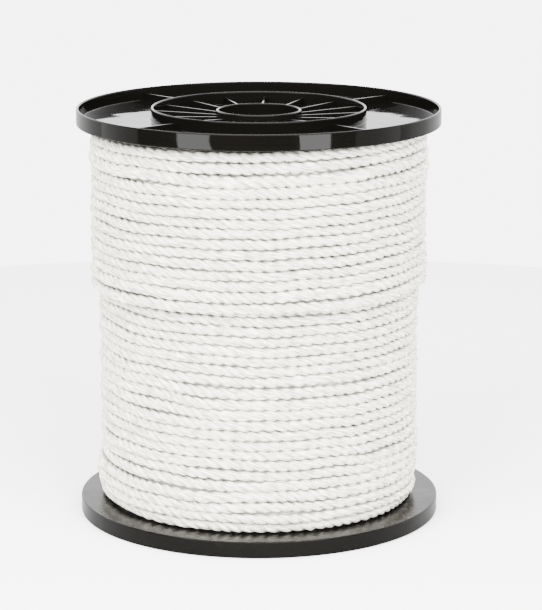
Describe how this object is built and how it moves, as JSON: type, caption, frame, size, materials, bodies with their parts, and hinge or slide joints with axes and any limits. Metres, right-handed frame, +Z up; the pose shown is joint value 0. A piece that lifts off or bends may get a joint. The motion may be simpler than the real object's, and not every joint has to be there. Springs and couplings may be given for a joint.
{
  "type": "electric fence rope reel",
  "caption": "White twisted electric fence rope wound in layers on a black plastic spool with ribbed flanges, standing on its end.",
  "frame": {"origin": "centre of the lower flange's rim, on the floor that the reel stands on", "axes": "+Z up along the spool's axis, -Y towards the viewer, +X to the viewer's right"},
  "size_m": [0.23, 0.23, 0.261],
  "materials": {
    "black_plastic": "glossy injection-moulded plastic with light scuffs",
    "white_rope": "twisted polyethylene filaments with a soft sheen"
  },
  "bodies": {
    "root": {"spool_lower_half": "black_plastic", "spool_upper_half": "black_plastic", "rope_winding": "white_rope"}
  },
  "joints": []
}
